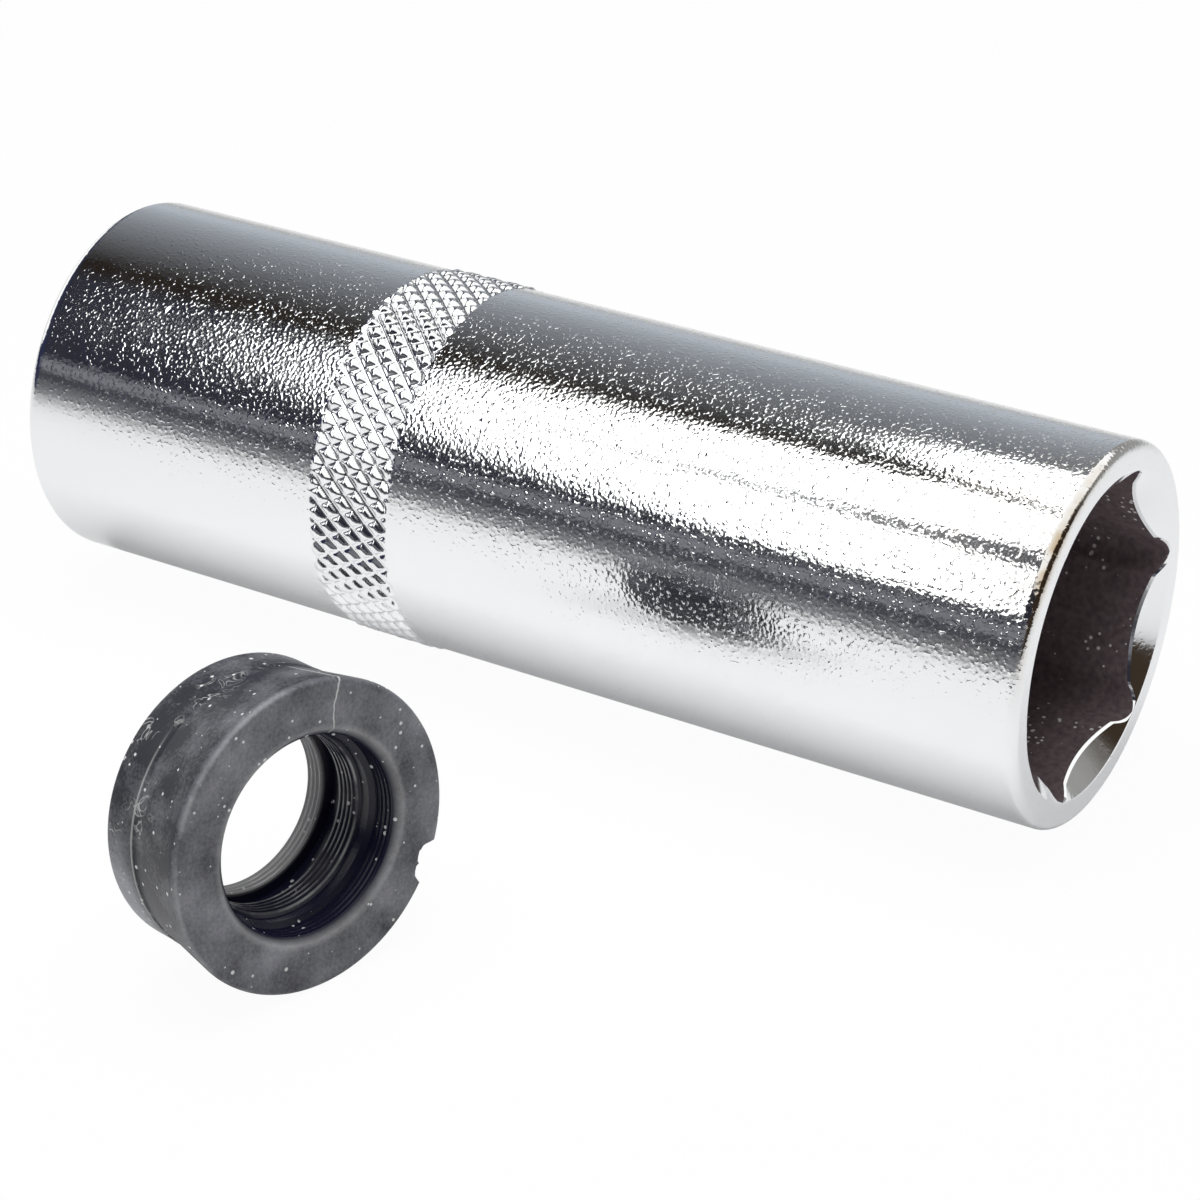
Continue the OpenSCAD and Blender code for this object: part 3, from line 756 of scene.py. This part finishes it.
def roomWalls(tree, w, turn, lean, aside):
    # back wall, pale at the horizon and dark towards the ceiling, and warmer on the mouth's side
    rise = addNode(tree, "ShaderNodeMapRange",
                   {"Value": turn, "From Min": w["aboveFrom"], "From Max": w["aboveTo"]})
    rise = addNode(tree, "ShaderNodeMath", {0: rise, 1: w["fade"]}, operation="POWER")
    back = addNode(tree, "ShaderNodeMix", {0: rise, 6: linear(w["horizon"]), 7: linear(w["above"])},
                   data_type="RGBA")
    warm = addNode(tree, "ShaderNodeMath", {0: aside, 1: w["sideShare"]}, operation="MULTIPLY")
    back = addNode(tree, "ShaderNodeMix", {0: warm, 6: back, 7: linear(w["sideWall"])}, data_type="RGBA")
    # front wall, dark with one dim strip, and paler near the level, at turns close to 180 and -180
    off = addNode(tree, "ShaderNodeMath", {0: turn, 1: w["stripTurn"]}, operation="SUBTRACT")
    off = addNode(tree, "ShaderNodeMath", {0: off}, operation="ABSOLUTE")
    dim = addNode(tree, "ShaderNodeMapRange",
                  {"Value": off, "From Max": w["stripHalf"], "To Min": 1.0, "To Max": 0.0},
                  interpolation_type="SMOOTHSTEP")
    front = addNode(tree, "ShaderNodeMix", {0: dim, 6: linear(w["front"]), 7: linear(w["strip"])},
                    data_type="RGBA")
    level = addNode(tree, "ShaderNodeMath", {0: turn}, operation="ABSOLUTE")
    level = addNode(tree, "ShaderNodeMapRange",
                    {"Value": level, "From Min": w["lowFrom"], "From Max": 180.0})
    front = addNode(tree, "ShaderNodeMix", {0: level, 6: front, 7: linear(w["low"])}, data_type="RGBA")
    ahead = addNode(tree, "ShaderNodeMapRange",
                    {"Value": turn, "From Min": w["frontFrom"], "From Max": w["frontTo"]})
    walls = addNode(tree, "ShaderNodeMix", {0: ahead, 6: back, 7: front}, data_type="RGBA")
    # end walls: deep blue far behind the drive end, and dark brown past the mouth
    for key in ("far", "near"):
        share = addNode(tree, "ShaderNodeMapRange",
                        {"Value": lean, "From Min": w[key + "From"], "From Max": w[key + "To"]})
        walls = addNode(tree, "ShaderNodeMix", {0: share, 6: walls, 7: linear(w[key + "Wall"])},
                        data_type="RGBA")
    return walls


def windowShare(tree, w, window, turn, lean):
    # lit window from its end up to its lean, with a round end past that: half an ellipse of lean and turn
    tip = window["lean"] + window["reach"]
    past = addNode(tree, "ShaderNodeMapRange",
                   {"Value": lean, "From Min": window["lean"], "From Max": tip}, clamp=False)
    past = addNode(tree, "ShaderNodeMath", {0: past, 1: 0.0}, operation="MAXIMUM")
    past = addNode(tree, "ShaderNodeMath", {0: past, 1: 2.0}, operation="POWER")
    off = addNode(tree, "ShaderNodeMath", {0: turn, 1: window["turn"]}, operation="SUBTRACT")
    off = addNode(tree, "ShaderNodeMath", {0: off, 1: 1 / window["half"]}, operation="MULTIPLY")
    off = addNode(tree, "ShaderNodeMath", {0: off, 1: off, 2: past}, operation="MULTIPLY_ADD")
    inside = addNode(tree, "ShaderNodeMapRange",
                     {"Value": off, "From Min": w["edgeFrom"], "From Max": w["edgeTo"],
                      "To Min": 1.0, "To Max": 0.0}, interpolation_type="SMOOTHSTEP")
    tilted = addNode(tree, "ShaderNodeMath", {0: turn, 1: -window["tilt"], 2: lean},
                     operation="MULTIPLY_ADD")
    begun = addNode(tree, "ShaderNodeMapRange",
                    {"Value": tilted, "From Min": window["end"], "From Max": window["end"] + w["endFade"]})
    return addNode(tree, "ShaderNodeMath", {0: inside, 1: begun}, operation="MULTIPLY")


def slitShare(tree, w, turn, lean):
    # light left by a dark slit across the main window, which opens towards the mouth
    off = addNode(tree, "ShaderNodeMath", {0: turn, 1: w["slitTurn"]}, operation="SUBTRACT")
    off = addNode(tree, "ShaderNodeMath", {0: off}, operation="ABSOLUTE")
    narrow = addNode(tree, "ShaderNodeMath",
                     {0: lean, 1: w["slitSpread"], 2: -w["slitLean"] * w["slitSpread"]},
                     operation="MULTIPLY_ADD")
    clear = addNode(tree, "ShaderNodeMath", {0: off, 1: narrow}, operation="ADD")
    return addNode(tree, "ShaderNodeMapRange",
                   {"Value": clear, "From Min": -w["slitEdge"], "From Max": w["slitEdge"] / 2,
                    "To Min": w["slitLeft"]}, interpolation_type="SMOOTHSTEP")


def makeWorld(w):
    world = bpy.data.worlds.new("dimStudioRoom")
    world.use_nodes = True
    tree = world.node_tree
    tree.nodes.clear()
    place = addNode(tree, "ShaderNodeTexCoord").outputs["Generated"]
    toward = addNode(tree, "ShaderNodeSeparateXYZ", {0: place})
    turn = addNode(tree, "ShaderNodeMath", {0: toward.outputs["Z"], 1: toward.outputs["Y"]},
                   operation="ARCTAN2")
    turn = addNode(tree, "ShaderNodeMath", {0: turn}, operation="DEGREES")
    lean = addNode(tree, "ShaderNodeMath", {0: toward.outputs["X"], 1: -1.0}, operation="MULTIPLY")
    aside = addNode(tree, "ShaderNodeMapRange",
                    {"Value": lean, "From Min": w["sideFrom"], "From Max": w["sideTo"]})
    walls = roomWalls(tree, w, turn, lean, aside)
    main, rear, top, left = (windowShare(tree, w, w[key], turn, lean)
                             for key in ("main", "rear", "top", "left"))
    slit = slitShare(tree, w, turn, lean)
    lit = addNode(tree, "ShaderNodeMath", {0: main, 1: slit}, operation="MULTIPLY")
    for window in (rear, top, left):
        lit = addNode(tree, "ShaderNodeMath", {0: lit, 1: window}, operation="MAXIMUM")
    # on the mouth's side, and far to the other, the windows are dimmer
    dimmer = addNode(tree, "ShaderNodeMath", {0: aside, 1: left}, operation="MAXIMUM")
    light = addNode(tree, "ShaderNodeMix", {0: dimmer, 6: w["light"], 7: w["sideLight"]}, data_type="RGBA")
    drawn = addNode(tree, "ShaderNodeMix", {0: lit, 6: walls, 7: light}, data_type="RGBA")
    # matte things take most of their light from the lamp
    rays = addNode(tree, "ShaderNodeLightPath")
    level = addNode(tree, "ShaderNodeMapRange",
                    {"Value": rays.outputs["Is Diffuse Ray"], "To Min": 1.0, "To Max": w["matteShare"]})
    sky = addNode(tree, "ShaderNodeBackground", {"Color": drawn, "Strength": level})
    addNode(tree, "ShaderNodeOutputWorld", {"Surface": sky})
    bpy.context.scene.world = world


makeFloor(studio)
makeLamp(studio)
makeWorld(room)
bpy.context.scene.view_settings.view_transform = "Standard"
print("studio lit")
